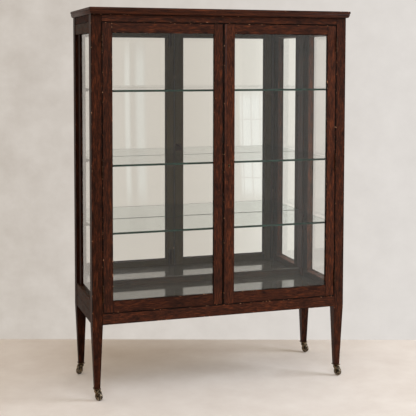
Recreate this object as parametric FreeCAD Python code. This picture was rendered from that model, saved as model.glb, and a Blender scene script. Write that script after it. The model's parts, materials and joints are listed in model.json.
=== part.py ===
"""China cabinet on brass castors: two glazed doors, glazed sides, mirror back and glass shelves.

Millimetres. +Z is up, the doors face -Y, +X is to the right of someone facing the doors.
The origin is on the floor, under the middle of the top board.
"""
import FreeCAD, Part
import math
import os

V = FreeCAD.Vector

# Case
case_width = 1046.0
case_depth = 376.0
leg_size = 41.0
leg_foot = 22.0
leg_taper_length = 248.0
arris = 1.0
bottom_rail_height = 43.5
door_opening_height = 1108.0
top_rail_height = 28.5
side_setback = 1.5
bottom_rail_thickness = 36.0
side_top_rail_thickness = 24.0
side_bottom_rail_thickness = 41.0

# Top board and its moulded edge
top_thickness = 25.5
top_front_overhang = 22.5
top_end_overhang = 9.5
top_back_overhang = 9.0
nose_height = 9.0
nose_radius = 3.5
quirk = 2.0
ovolo_return = 5.0
ovolo_bulge = 1.8

# Mortise and tenon joints
tenon_thickness = 8.0
tenon_length = 18.0
tenon_inset = 7.0
tenon_shoulder = 5.0
joint_play = 0.1
mortise_end_play = 1.0

# Rails of the doors and side sashes share their heights, so the glass lines up all round
top_frame_rail = 41.0
bottom_frame_rail = 48.0

# Glazing
glass_thickness = 3.0
glass_rebate = 7.0
glass_play = 0.5
bead_width = 6.5
bead_nib = 1.5
bead_back = 2.5

# Side sashes
sash_gap = 0.8
sash_rail_thickness = 34.0
sash_stile_width = 50.0
sash_stile_setback = 10.0
sash_glass_setback = 14.5
sash_tenon_length = 14.0

# Doors
door_thickness = 22.0
door_gap = 1.5
meeting_gap = 3.0
door_stile_width = 39.0
door_lip = 6.0
door_tenon_length = 24.0
stop_gap = 0.5
staff_bead_width = 10.0
staff_bead_rise = 3.0
staff_bead_quirk = 1.2

# Butt hinges
hinge_length = 65.0
hinge_inset = 75.0
hinge_proud = 2.5
leaf_thickness = 1.8
leaf_width = 17.0
knuckle_diameter = 7.0
knuckle_count = 3
knuckle_gap = 0.3
pin_diameter = 3.5
pin_running_clearance = 0.06

# Cupboard lock in the right-hand door
lock_width = 34.0
lock_height = 54.0
lock_depth = 10.0
selvage_thickness = 2.0
selvage_width = 15.0
lock_bolt_height = 10.0
lock_bolt_thickness = 5.0
lock_bolt_length = 17.0
lock_bolt_travel = 8.0
lock_bolt_play = 0.25
keep_play = 0.6
key_backset = 22.5
key_round = 2.2
key_slot = 2.4
key_drop = 6.5
bush_wall = 1.8
bush_depth = 6.0

# Flat bolts on the back of the left-hand door
stop_lap = 10.0
stop_thickness = 14.0
flat_bolt_width = 8.0
flat_bolt_thickness = 5.0
flat_bolt_length = 72.0
flat_bolt_travel = 10.0
flat_bolt_gap = 1.0
flat_bolt_play = 0.2
bolt_plate_width = 18.0
bolt_plate_thickness = 2.0
bolt_plate_length = 60.0
bolt_staple_height = 10.0
bolt_staple_wall = 1.5
bolt_tip_inset = 8.0
bolt_knob_diameter = 6.0
bolt_knob_reach = 7.0

# Floor board
floor_thickness = 17.0
floor_play = 0.3

# Mirror back
back_rail_thickness = 20.0
back_rail_setback = 2.0
mirror_setback = 14.0
mirror_thickness = 4.0
back_board_thickness = 6.0
back_rebate = 8.0
back_sill_rise = 25.0
back_head_drop = 30.0

# Glass shelves and their studs
shelf_thickness = 8.0
shelf_front_setback = 40.0
shelf_back_gap = 4.0
shelf_end_gap = 2.0
lower_shelf_rise = 278.0
middle_shelf_rise = 262.0
upper_shelf_rise = 286.0
stud_size = 6.0
stud_depth = 10.0
stud_reach = 7.0

# Castors
wheel_diameter = 34.0
wheel_width = 13.0
wheel_headroom = 1.5
wheel_side_play = 0.8
castor_trail = 10.0
cheek_thickness = 3.0
axle_boss_diameter = 11.0
boss_facets = 6
axle_diameter = 5.0
axle_clearance = 0.06
crown_thickness = 3.5
crown_length = 18.0
crown_bevel = 4.0
swivel_gap = 0.4
pintle_diameter = 7.0
pintle_length = 5.5
pintle_clearance = 0.06
neck_height = 4.6
flange_thickness = 2.5
flange_overhang = 2.5
neck_inset = 1.0
neck_foot_diameter = 18.0
front_left_turn = -56.0
front_right_turn = -64.0
back_left_turn = -142.0
back_right_turn = -62.0

# Heights from the floor
castor_height = (wheel_diameter + wheel_headroom + crown_thickness + swivel_gap
                 + neck_height + flange_thickness)
case_base = castor_height + leg_taper_length
door_sill = case_base + bottom_rail_height
door_head = door_sill + door_opening_height
top_under = door_head + top_rail_height
sight_low = door_sill + bottom_frame_rail
sight_high = door_head - top_frame_rail
floor_top = door_sill + floor_thickness
door_low = door_sill + door_gap
door_high = door_head - door_gap
door_middle = (door_sill + door_head) / 2

# Plan positions
half_width = case_width / 2
inner_face = half_width - leg_size
top_depth = top_front_overhang + case_depth + top_back_overhang
front = top_front_overhang - top_depth / 2
back = front + case_depth
front_leg_back = front + leg_size
back_leg_front = back - leg_size
door_back = front + door_thickness
stop_face = door_back + stop_gap
front_rail_thickness = door_thickness + stop_gap
mirror_face = back - mirror_setback
back_rail_face = back - back_rail_setback - back_rail_thickness

# Hinge axis of the left-hand door; the right-hand one is its mirror image
hinge_x = -inner_face + door_gap / 2
hinge_y = front - hinge_proud
hinge_heights = (door_low + hinge_inset, door_middle, door_high - hinge_inset)
door_edge = -inner_face + door_gap

# Side sash planes on the left side
sash_outer = -half_width + side_setback
sash_inner = sash_outer + sash_rail_thickness
sash_front = front_leg_back + sash_gap
sash_back = back_leg_front - sash_gap
side_glass_face = -half_width + sash_glass_setback
stile_outer = -half_width + sash_stile_setback

# Shelf undersides
shelf_beds = (
    floor_top + lower_shelf_rise,
    floor_top + lower_shelf_rise + middle_shelf_rise,
    floor_top + lower_shelf_rise + middle_shelf_rise + upper_shelf_rise,
)


def block(x, y, z):
    """Rectangular solid between pairs of limits given in either order."""
    low = V(min(x), min(y), min(z))
    size = V(max(x), max(y), max(z)) - low
    return Part.makeBox(size.x, size.y, size.z, low)


def rod(radius, length, base, axis):
    return Part.makeCylinder(radius, length, base, axis)


def polygon(points):
    return Part.Face(Part.makePolygon(points + points[:1]))


def mirrored(shape):
    """The same piece on the other side of the cabinet."""
    return shape.mirror(V(0, 0, 0), V(1, 0, 0))


def softened(shape, edge_test):
    """Take the sharp arris off the edges that pass the test."""
    edges = [edge for edge in shape.Edges if edge_test(edge)]
    return shape.makeChamfer(arris, edges)


def runs_along(edge, axis):
    """True for a straight edge along the axis."""
    ends = [vertex.Point for vertex in edge.Vertexes]
    return len(ends) == 2 and abs((ends[1] - ends[0]).normalize().dot(axis)) > 0.999


def edge_at(edge, **limits):
    """True where the middle of an edge lies on all the given coordinates."""
    middle = edge.CenterOfMass
    return all(abs(getattr(middle, name) - value) < 0.01 for name, value in limits.items())


# Tenons, and the mortises that take them
def tenon_along_x(y_outer, z):
    """Tenon at the left end of a rail between two legs."""
    return block((-inner_face - tenon_length, -inner_face),
                 (y_outer, y_outer + tenon_thickness),
                 (z[0] + tenon_shoulder, z[1] - tenon_shoulder))


def tenon_along_y(y_shoulder, into, z):
    """Tenon at one end of a side rail; into is -1 towards the front leg, +1 towards the back leg."""
    x_outer = sash_outer + tenon_inset
    return block((x_outer, x_outer + tenon_thickness),
                 (y_shoulder, y_shoulder + into * tenon_length),
                 (z[0] + tenon_shoulder, z[1] - tenon_shoulder))


def mortise(tenon, axis):
    """Pocket for a tenon: play on its cheeks and a little room past its end."""
    room = tenon.BoundBox
    room.enlarge(joint_play)
    pocket = Part.makeBox(room.XLength, room.YLength, room.ZLength,
                          V(room.XMin, room.YMin, room.ZMin))
    deeper = pocket.copy()
    deeper.translate(axis * mortise_end_play)
    return pocket.fuse(deeper)


TOP = (door_head, top_under)
BOTTOM = (case_base, door_sill)
BACK_TOP = (door_head - back_head_drop, top_under)
BACK_BOTTOM = (case_base, floor_top + back_sill_rise)
BACK_TOP_TENON = (BACK_TOP[0] + back_rebate, BACK_TOP[1])
BACK_BOTTOM_TENON = (BACK_BOTTOM[0], BACK_BOTTOM[1] - back_rebate)
front_tenon_y = front + tenon_inset
back_tenon_y = back - back_rail_setback - tenon_inset - tenon_thickness
LEFTWARD = V(-1, 0, 0)
FORWARD = V(0, -1, 0)
BACKWARD = V(0, 1, 0)
UP = V(0, 0, 1)


# Hinges, built for the left-hand door
def knuckles(height, first, radius, grow):
    """Every other knuckle of one hinge, from knuckle number first; the outer ones end with the leaf."""
    length = (hinge_length - (knuckle_count - 1) * knuckle_gap) / knuckle_count
    base = height - hinge_length / 2
    pieces = []
    for number in range(first, knuckle_count, 2):
        low = base + number * (length + knuckle_gap) - grow
        pieces.append(rod(radius, length + 2 * grow, V(hinge_x, hinge_y, low), UP))
    return pieces


def leaf_plate(height, x_wood, into):
    """Flat of one leaf, let flush into the wood face at x_wood; into is the way into the wood."""
    return block((x_wood, x_wood + into * leaf_thickness), (hinge_y, front + leaf_width),
                 (height - hinge_length / 2, height + hinge_length / 2))


def hinge_leaf(height, x_wood, into, first):
    """One leaf with its own knuckles, cleared for the other leaf's."""
    own = knuckles(height, first, knuckle_diameter / 2, 0)
    other = knuckles(height, 1 - first, knuckle_diameter / 2 + knuckle_gap, knuckle_gap)
    return leaf_plate(height, x_wood, into).fuse(own).cut(other)


def pin_line(height, radius):
    return rod(radius, hinge_length, V(hinge_x, hinge_y, height - hinge_length / 2), UP)


def case_leaf(height):
    """Leaf on the leg, with the pin fast in its knuckles."""
    pin = pin_line(height, pin_diameter / 2)
    return hinge_leaf(height, -inner_face, -1, 0).fuse(pin).removeSplitter()


def door_leaf(height):
    """Leaf on the door, bored to turn on the pin."""
    bore = pin_line(height, pin_diameter / 2 + pin_running_clearance)
    return hinge_leaf(height, door_edge, 1, 1).cut(bore).removeSplitter()


def hinge_seat(height, x_wood, into):
    """What a hinge takes out of the leg or the stile: its leaf and a notch for the knuckles."""
    recess = leaf_plate(height, x_wood, into).BoundBox
    seat = block((recess.XMin, recess.XMax), (recess.YMin, recess.YMax + joint_play),
                 (recess.ZMin - joint_play, recess.ZMax + joint_play))
    room = knuckle_diameter / 2 + knuckle_gap
    half = hinge_length / 2 + knuckle_gap
    notch = block((hinge_x - room, hinge_x + room), (hinge_y - room, hinge_y + room),
                  (height - half, height + half))
    return seat.fuse(notch)


# Legs
def leg_section(width, x, y, z):
    """Corners of a square with its arrises taken off, at one height."""
    half = width / 2
    cut = half - arris
    corners = [(cut, -half), (half, -cut), (half, cut), (cut, half),
               (-cut, half), (-half, cut), (-half, -cut), (-cut, -half)]
    return [V(x + across, y + along, z) for across, along in corners]


def leg_blank(x, y):
    """Straight post above, tapered on all four faces below the case."""
    sections = [leg_section(leg_foot, x, y, castor_height), leg_section(leg_size, x, y, case_base),
                leg_section(leg_size, x, y, top_under)]
    faces = [polygon(sections[0]), polygon(sections[-1])]
    for low, high in zip(sections, sections[1:]):
        for here, there in zip(range(-1, len(low) - 1), range(len(low))):
            faces.append(polygon([low[here], low[there], high[there], high[here]]))
    return Part.Solid(Part.Shell(faces))


left_leg_x = leg_size / 2 - half_width
front_leg_y = front + leg_size / 2
back_leg_y = back - leg_size / 2


def front_leg():
    leg = leg_blank(left_leg_x, front_leg_y)
    for z in (TOP, BOTTOM):
        leg = leg.cut(mortise(tenon_along_x(front_tenon_y, z), LEFTWARD))
        leg = leg.cut(mortise(tenon_along_y(front_leg_back, -1, z), FORWARD))
    for height in hinge_heights:
        leg = leg.cut(hinge_seat(height, -inner_face, -1))
    return leg


def back_leg():
    leg = leg_blank(left_leg_x, back_leg_y)
    for z in (TOP, BOTTOM):
        leg = leg.cut(mortise(tenon_along_y(back_leg_front, 1, z), BACKWARD))
    for z in (BACK_TOP_TENON, BACK_BOTTOM_TENON):
        leg = leg.cut(mortise(tenon_along_x(back_tenon_y, z), LEFTWARD))
    rebate = block((-inner_face - back_rebate, -inner_face), (mirror_face, back),
                   (BACK_BOTTOM[1] - back_rebate, BACK_TOP[0] + back_rebate))
    return leg.cut(rebate)


# Rails of the case
def rail_between_legs(y, z, y_tenon, z_tenon):
    """Rail across the front or the back, and its tenons for both legs."""
    bar = block((-inner_face, inner_face), y, z)
    left_tenon = tenon_along_x(y_tenon, z_tenon)
    return bar, [left_tenon, mirrored(left_tenon)]


def front_rail(thickness, z, shown_edge):
    bar, tenons = rail_between_legs((front, front + thickness), z, front_tenon_y, z)
    bar = softened(bar, lambda edge: edge_at(edge, y=front, z=shown_edge))
    return bar.fuse(tenons).removeSplitter()


def back_rail(z, z_tenon, rebate_z):
    """Back rail, rebated from behind for the edge of the mirror and its backing."""
    y = (back_rail_face, back - back_rail_setback)
    bar, tenons = rail_between_legs(y, z, back_tenon_y, z_tenon)
    rebate = block((-inner_face, inner_face), (mirror_face, back), rebate_z)
    return bar.cut(rebate).fuse(tenons).removeSplitter()


def side_rail(thickness, z):
    bar = block((sash_outer, sash_outer + thickness), (front_leg_back, back_leg_front), z)
    tenons = [tenon_along_y(front_leg_back, -1, z), tenon_along_y(back_leg_front, 1, z)]
    return bar.fuse(tenons).removeSplitter()


# Top board: the front moulding and the end mouldings meet in mitres
def edge_outline(place, inside):
    """Moulded edge from the top face round to the underside; place turns (out, z) into a point."""
    top = top_under + top_thickness
    arc_middle = nose_radius * (1 - math.sqrt(0.5))
    low_z = top - nose_height
    low_out = -quirk - ovolo_return
    corners = [place(-inside, top), place(-nose_radius, top), place(0, top - nose_radius),
               place(0, low_z), place(-quirk, low_z), place(low_out, top_under),
               place(-inside, top_under)]
    nose = Part.Arc(corners[1], place(-arc_middle, top - arc_middle), corners[2])
    bulge = place((-quirk + low_out) / 2 + ovolo_bulge, (low_z + top_under) / 2)
    ovolo = Part.Arc(corners[4], bulge, corners[5])
    return [Part.makeLine(corners[0], corners[1]), nose.toShape(),
            Part.makeLine(corners[2], corners[3]), Part.makeLine(corners[3], corners[4]),
            ovolo.toShape(), Part.makeLine(corners[5], corners[6])]


def top_board():
    half = half_width + top_end_overhang
    front_edge = front - top_front_overhang
    back_edge = back + top_back_overhang
    depth = back_edge - front_edge
    across = edge_outline(lambda out, z: V(-half, front_edge - out, z), depth)
    across.append(Part.makeLine(V(-half, back_edge, top_under),
                                V(-half, back_edge, top_under + top_thickness)))
    along_front = Part.Face(Part.Wire(Part.__sortEdges__(across))).extrude(V(2 * half, 0, 0))
    left = edge_outline(lambda out, z: V(-half - out, front_edge, z), half)
    right = edge_outline(lambda out, z: V(half + out, front_edge, z), half)
    both_ends = Part.Face(Part.Wire(Part.__sortEdges__(left + right)))
    return along_front.common(both_ends.extrude(V(0, depth, 0))).removeSplitter()


# Floor board, notched round the four legs
def floor_board():
    board = block((sash_inner + floor_play, -sash_inner - floor_play),
                  (stop_face, back_rail_face), (door_sill, floor_top))
    for x in (-1, 1):
        notch_x = (x * (inner_face - floor_play), x * half_width)
        for notch_y in ((front, front_leg_back + floor_play), (back_leg_front - floor_play, back)):
            board = board.cut(block(notch_x, notch_y, (door_sill, floor_top)))
    return board.cut(bolt_keep(floor_top, -1)).removeSplitter()


def door_stop():
    """Strip behind the front top rail that the doors close against."""
    strip = block((-inner_face, inner_face), (stop_face, stop_face + stop_thickness),
                  (door_head - stop_lap, top_under))
    return strip.cut(bolt_keep(door_head - stop_lap, 1))


# Side sashes, built for the left side
glass_y = (sash_front + sash_stile_width - glass_rebate, sash_back - sash_stile_width + glass_rebate)
glass_z = (sight_low - glass_rebate, sight_high + glass_rebate)


def sash_tenon(y, z_shoulder, into):
    """Tenon at one end of a sash stile, kept clear of the glass rebate."""
    x = stile_outer + (sash_inner - stile_outer - tenon_thickness) / 2
    return block((x, x + tenon_thickness), (y[0] + tenon_inset, y[1] - tenon_inset - glass_rebate),
                 (z_shoulder, z_shoulder + into * sash_tenon_length))


def front_stile_y():
    return (sash_front, sash_front + sash_stile_width)


def turned_end_for_end(shape):
    """The piece at the back that answers the given piece at the front of a side."""
    return shape.mirror(V(0, (sash_front + sash_back) / 2, 0), V(0, 1, 0))


def glass_room():
    """Rebate that the side pane and its beads lie in, open to the inside."""
    return block((side_glass_face, sash_inner), glass_y, glass_z)


def stud_places():
    """Place along the side of each shelf stud, with the underside of the shelf on it."""
    middle = (sash_stile_width - glass_rebate) / 2
    return [(y, bed) for bed in shelf_beds for y in (sash_front + middle, sash_back - middle)]


def stud(y, bed, x_end, play):
    """Square pin from inside the stile to x_end, under one corner of a shelf."""
    half = stud_size / 2 + play
    return block((sash_inner - stud_depth - play, x_end), (y - half, y + half),
                 (bed - stud_size - play, bed + play))


def sash_stiles():
    y = front_stile_y()
    stile = block((stile_outer, sash_inner), y, (sight_low, sight_high))
    stile = stile.fuse([sash_tenon(y, sight_low, -1), sash_tenon(y, sight_high, 1)])
    pair = [stile, turned_end_for_end(stile)]
    holes = [stud(y, bed, sash_inner, joint_play) for y, bed in stud_places()]
    return [piece.cut(glass_room()).cut(holes).removeSplitter() for piece in pair]


def sash_rail(z, z_shoulder, into):
    rail = block((sash_outer, sash_inner), (sash_front, sash_back), z)
    rail = softened(rail, lambda edge: edge_at(edge, x=sash_outer, z=z_shoulder))
    tenon = sash_tenon(front_stile_y(), z_shoulder, into)
    for piece in (tenon, turned_end_for_end(tenon)):
        rail = rail.cut(mortise(piece, UP * into))
    return rail.cut(glass_room()).removeSplitter()


def sash_rails():
    return [sash_rail((sight_high, door_head - sash_gap), sight_high, 1),
            sash_rail((door_sill + sash_gap, sight_low), sight_low, -1)]


def pane_between(low, high):
    """Limits of a pane that has the same play at both ends of its room."""
    return (low + glass_play, high - glass_play)


def side_pane():
    return block((side_glass_face, side_glass_face + glass_thickness),
                 pane_between(*glass_y), pane_between(*glass_z))


def bead_strip(corner, over_glass, out_of_glass, depth, run):
    """Splayed glazing bead, thin at the glass line, laid along run from the rebate's corner."""
    crest = corner + over_glass * bead_width
    nib = crest + out_of_glass * bead_nib
    heel = corner + out_of_glass * depth
    return polygon([corner, crest, nib, heel + over_glass * bead_back, heel]).extrude(run)


def bead_frame(low, high, along, out_of_glass, depth):
    """Four beads round a pane: the level ones run through and the upright ones fit between."""
    width = along * (high - low).dot(along)
    height = UP * (high - low).dot(UP)
    inset = UP * bead_width
    upright = height - inset * 2
    return [bead_strip(low, UP, out_of_glass, depth, width),
            bead_strip(high - width, UP * -1, out_of_glass, depth, width),
            bead_strip(low + inset, along, out_of_glass, depth, upright),
            bead_strip(low + width + inset, along * -1, out_of_glass, depth, upright)]


def side_beads():
    face = side_glass_face + glass_thickness
    low = V(face, glass_y[0], glass_z[0])
    high = V(face, glass_y[1], glass_z[1])
    return bead_frame(low, high, V(0, 1, 0), V(1, 0, 0), sash_inner - face)


# Shelves and studs
shelf_half = inner_face - shelf_end_gap


def shelf(bed):
    return block((-shelf_half, shelf_half),
                 (front + shelf_front_setback, mirror_face - shelf_back_gap),
                 (bed, bed + shelf_thickness))


def shelf_studs():
    """Studs of the left side."""
    return [stud(y, bed, stud_reach - shelf_half, 0) for y, bed in stud_places()]


# Mirror and its backing, let into the legs and the back rails from behind
def back_sheet(y, thickness):
    half = inner_face + back_rebate - glass_play
    return block((-half, half), (y, y + thickness),
                 (BACK_BOTTOM[1] - back_rebate + glass_play, BACK_TOP[0] + back_rebate - glass_play))


# Doors. Each is worked out from its hinge edge to its meeting edge, with into pointing that way.
def pane_room(hinge_edge, meeting_edge, hinge_width, meeting_width, into):
    """Rebate for the pane and beads, open to the back of the door."""
    return ((hinge_edge + into * (hinge_width - glass_rebate),
             meeting_edge - into * (meeting_width - glass_rebate)),
            (front + door_lip, door_back), glass_z)


def stile_mortise_tenon(pane_edge, towards, z):
    """Tenon of a door rail in a stile; towards points from the pane into the stile."""
    return block((pane_edge, pane_edge + towards * door_tenon_length),
                 (front + tenon_inset, front + tenon_inset + tenon_thickness), z)


door_tenon_z = ((door_low + tenon_shoulder, sight_low - glass_rebate - tenon_shoulder),
                (sight_high + glass_rebate + tenon_shoulder, door_high - tenon_shoulder))


def door_stile(outer_edge, pane_edge, room):
    """Plain stile: softened front arrises, rebate for the glass, mortises for the two rails."""
    stile = block((outer_edge, pane_edge), (front, door_back), (door_low, door_high))
    stile = softened(stile, lambda edge: runs_along(edge, UP) and edge_at(edge, y=front))
    towards = 1 if outer_edge > pane_edge else -1
    for z in door_tenon_z:
        stile = stile.cut(mortise(stile_mortise_tenon(pane_edge, towards, z), V(towards, 0, 0)))
    return stile.cut(block(*room)).removeSplitter()


def door_rail(left_pane_edge, right_pane_edge, z, z_tenon, room):
    rail = block((left_pane_edge, right_pane_edge), (front, door_back), z)
    rail = softened(rail, lambda edge: runs_along(edge, V(1, 0, 0)) and edge_at(edge, y=front))
    tenons = [stile_mortise_tenon(left_pane_edge, -1, z_tenon),
              stile_mortise_tenon(right_pane_edge, 1, z_tenon)]
    return rail.cut(block(*room)).fuse(tenons).removeSplitter()


def door_pane(room):
    x, y, z = room
    return block(pane_between(min(x), max(x)), (y[0], y[0] + glass_thickness), pane_between(*z))


def door_beads(room):
    x, y, z = room
    face = y[0] + glass_thickness
    return bead_frame(V(min(x), face, z[0]), V(max(x), face, z[1]), V(1, 0, 0), BACKWARD,
                      door_back - face)


left_meeting_edge = -meeting_gap / 2
left_hinge_pane = door_edge + door_stile_width
left_meeting_pane = left_meeting_edge - door_stile_width
left_room = pane_room(door_edge, left_meeting_edge, door_stile_width, door_stile_width, 1)
right_meeting_edge = meeting_gap / 2
right_meeting_width = door_stile_width + staff_bead_quirk + staff_bead_width / 2
right_hinge_pane = -left_hinge_pane
right_meeting_pane = right_meeting_edge + right_meeting_width
right_room = pane_room(-door_edge, right_meeting_edge, door_stile_width, right_meeting_width, -1)


def hinge_stile(pane_edge, room):
    """Hinge stile of the left-hand door with its three leaf recesses."""
    stile = door_stile(door_edge, pane_edge, room)
    for height in hinge_heights:
        stile = stile.cut(hinge_seat(height, door_edge, 1))
    return stile


def staff_bead():
    """Half-round bead worked along the meeting edge of the right-hand door, with its quirk."""
    edge = right_meeting_edge
    crest = V(edge + staff_bead_width / 2, front - staff_bead_rise, door_low)
    first = V(edge, front, door_low)
    last = V(edge + staff_bead_width, front, door_low)
    back_first = V(edge, front + arris, door_low)
    back_last = V(edge + staff_bead_width, front + arris, door_low)
    edges = [Part.Arc(first, crest, last).toShape(), Part.makeLine(last, back_last),
             Part.makeLine(back_last, back_first), Part.makeLine(back_first, first)]
    return Part.Face(Part.Wire(edges)).extrude(UP * (door_high - door_low))


def staff_quirk():
    start = right_meeting_edge + staff_bead_width
    points = [V(start, front, door_low), V(start + staff_bead_quirk, front, door_low),
              V(start, front + staff_bead_quirk, door_low)]
    return polygon(points).extrude(UP * (door_high - door_low))


# Lock
lock_z = (door_middle - lock_height / 2, door_middle + lock_height / 2)
lock_front = door_back - lock_depth
lock_bolt_y = (door_back - lock_depth / 2 - lock_bolt_thickness / 2,
               door_back - lock_depth / 2 + lock_bolt_thickness / 2)
lock_bolt_z = (door_middle - lock_bolt_height / 2, door_middle + lock_bolt_height / 2)
lock_bolt_x = (right_meeting_edge + lock_bolt_play,
               right_meeting_edge + lock_bolt_play + lock_bolt_length)
key_x = right_meeting_edge + key_backset


def widened(limits, play):
    return (min(limits) - play, max(limits) + play)


def lock_body():
    body = block((right_meeting_edge, right_meeting_edge + lock_width), (lock_front, door_back), lock_z)
    selvage = block((right_meeting_edge, right_meeting_edge + selvage_thickness),
                    (door_back - selvage_width, door_back), lock_z)
    return body.fuse(selvage)


def lock_case():
    channel = block((right_meeting_edge, lock_bolt_x[1] + lock_bolt_play),
                    widened(lock_bolt_y, lock_bolt_play), widened(lock_bolt_z, lock_bolt_play))
    return lock_body().cut(channel)


def lock_bolt():
    bolt = block(lock_bolt_x, lock_bolt_y, lock_bolt_z)
    return softened(bolt, lambda edge: edge_at(edge, x=lock_bolt_x[0]) and runs_along(edge, UP))


def lock_keep():
    """Mortise in the left-hand door that the lock bolt shoots into."""
    thrown_tip = lock_bolt_x[0] - lock_bolt_travel
    return block((left_meeting_edge, thrown_tip - keep_play),
                 widened(lock_bolt_y, keep_play), widened(lock_bolt_z, keep_play))


def keyhole(radius, slot, y_start, y_end):
    """Keyhole outline, a round with a slot below it, cut from front to back."""
    eye = rod(radius, y_end - y_start, V(key_x, y_start, door_middle), BACKWARD)
    drop = key_drop + radius - key_round
    slit = block((key_x - slot / 2, key_x + slot / 2), (y_start, y_end),
                 (door_middle - drop, door_middle))
    return eye.fuse(slit).removeSplitter()


def keyhole_bush():
    outer = keyhole(key_round + bush_wall, key_slot + 2 * bush_wall, front, front + bush_depth)
    return outer.cut(keyhole(key_round, key_slot, front, front + bush_depth))


def right_meeting_stile():
    stile = door_stile(right_meeting_edge, right_meeting_pane, right_room)
    stile = stile.cut(staff_quirk()).fuse(staff_bead()).removeSplitter()
    bush_hole = keyhole(key_round + bush_wall, key_slot + 2 * bush_wall, front, front + bush_depth)
    key_way = keyhole(key_round, key_slot, front, lock_front)
    return stile.cut([lock_body(), bush_hole, key_way]).removeSplitter()


# Flat bolts; way is +1 for the bolt that shoots up and -1 for the one that shoots down
bolt_x = left_meeting_edge - door_stile_width / 2
bolt_y = door_back + bolt_plate_thickness + flat_bolt_play


def bolt_bar(z, play):
    """Length of the flat bar between two heights, with play round it."""
    half = flat_bolt_width / 2 + play
    return block((bolt_x - half, bolt_x + half),
                 (bolt_y - play, bolt_y + flat_bolt_thickness + play), z)


def bolt_keep(face, way):
    """Slot that a flat bolt shoots into."""
    return bolt_bar((face, face + way * (flat_bolt_travel - flat_bolt_gap + mortise_end_play)), keep_play)


def flat_bolt(face, way):
    """Flat bolt drawn back just clear of its keep, with a round thumb knob."""
    tip = face - way * flat_bolt_gap
    bar = bolt_bar((tip, tip - way * flat_bolt_length), 0)
    plate_end = tip - way * (bolt_tip_inset + bolt_plate_length)
    knob_z = plate_end + way * (bolt_staple_height + bolt_knob_diameter / 2 + flat_bolt_gap)
    knob = rod(bolt_knob_diameter / 2, flat_bolt_thickness + bolt_knob_reach,
               V(bolt_x, bolt_y, knob_z), BACKWARD)
    return bar.fuse(knob).removeSplitter()


def bolt_plate(face, way):
    """Plate on the back of the stile, with two staples that the bolt slides in."""
    near = face - way * (flat_bolt_gap + bolt_tip_inset)
    far = near - way * bolt_plate_length
    plate = block((bolt_x - bolt_plate_width / 2, bolt_x + bolt_plate_width / 2),
                  (door_back, door_back + bolt_plate_thickness), (near, far))
    staple_back = bolt_y + flat_bolt_thickness + flat_bolt_play + bolt_staple_wall
    staple_half = flat_bolt_width / 2 + flat_bolt_play + bolt_staple_wall
    staples = [block((bolt_x - staple_half, bolt_x + staple_half), (door_back, staple_back), z)
               for z in ((near, near - way * bolt_staple_height),
                         (far, far + way * bolt_staple_height))]
    return plate.fuse(staples).cut(bolt_bar((near, far), flat_bolt_play)).removeSplitter()


# Castors, built on a swivel axis through the origin with the wheel trailing along +X
wheel_radius = wheel_diameter / 2
fork_half = wheel_width / 2 + wheel_side_play + cheek_thickness
crown_low = wheel_diameter + wheel_headroom
crown_top = crown_low + crown_thickness
neck_low = crown_top + swivel_gap
axle_point = V(castor_trail, 0, wheel_radius)


def castor_plate():
    """Square flange screwed under the foot of the leg, with a round neck for the pintle below it."""
    half = leg_foot / 2 + flange_overhang
    flange = block((-half, half), (-half, half), (castor_height - flange_thickness, castor_height))
    flange = softened(flange, lambda edge: runs_along(edge, UP))
    neck = Part.makeCone(neck_foot_diameter / 2, half - neck_inset, neck_height,
                         V(0, 0, neck_low), UP)
    socket = rod(pintle_diameter / 2 + pintle_clearance, pintle_length + mortise_end_play,
                 V(0, 0, neck_low), UP)
    return flange.fuse(neck).cut(socket).removeSplitter()


def horn_outline():
    """Side outline of the fork: from the crown, bowing back and down to the axle boss, in facets."""
    half = crown_length / 2
    boss = axle_boss_diameter / 2
    y = -fork_half
    front_top = V(-half, y, crown_top)
    back_top = V(half, y, crown_top)
    front_low = V(-half, y, crown_low)
    turns = [math.pi + step * math.pi / boss_facets for step in range(boss_facets + 1)]
    round_end = [V(castor_trail + boss * math.cos(turn), y, wheel_radius + boss * math.sin(turn))
                 for turn in turns]
    bow = V(boss / 2, 0, boss / 2)
    hollow = (front_low + round_end[0]) * 0.5 + bow
    swell = (back_top + round_end[-1]) * 0.5 + bow
    outline = [back_top, front_top, front_low, hollow] + round_end + [swell]
    return polygon(outline).extrude(V(0, 2 * fork_half, 0))


def castor_fork():
    """Horned fork, arched over the wheel, with its pintle and the axle riveted through its cheeks."""
    slot_half = wheel_width / 2 + wheel_side_play
    arch = rod(wheel_radius + wheel_headroom, 2 * slot_half,
               axle_point - V(0, slot_half, 0), BACKWARD)
    nose = -crown_length / 2
    tail = castor_trail + axle_boss_diameter
    narrow = fork_half - crown_bevel
    plan = polygon([V(nose, -narrow, 0), V(nose + crown_bevel, -fork_half, 0), V(tail, -fork_half, 0),
                    V(tail, fork_half, 0), V(nose + crown_bevel, fork_half, 0), V(nose, narrow, 0)])
    fork = horn_outline().cut(arch).common(plan.extrude(UP * crown_top))
    pintle = rod(pintle_diameter / 2, pintle_length + swivel_gap, V(0, 0, crown_top), UP)
    axle = rod(axle_diameter / 2, 2 * fork_half, axle_point - V(0, fork_half, 0), BACKWARD)
    return fork.fuse([pintle, axle]).removeSplitter()


def castor_wheel():
    """Solid wheel, bored to run on the axle."""
    disc = rod(wheel_radius, wheel_width, axle_point - V(0, wheel_width / 2, 0), BACKWARD)
    bore = rod(axle_diameter / 2 + axle_clearance, wheel_width,
               axle_point - V(0, wheel_width / 2, 0), BACKWARD)
    return disc.cut(bore)


def under_leg(shape, x, y, turn):
    """Put a castor piece under a leg, turned on its swivel."""
    placed = shape.copy()
    placed.rotate(V(0, 0, 0), UP, turn)
    placed.translate(V(x, y, 0))
    return placed


castors = {
    "front_left": (left_leg_x, front_leg_y, front_left_turn),
    "front_right": (-left_leg_x, front_leg_y, front_right_turn),
    "back_left": (left_leg_x, back_leg_y, back_left_turn),
    "back_right": (-left_leg_x, back_leg_y, back_right_turn),
}


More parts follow.
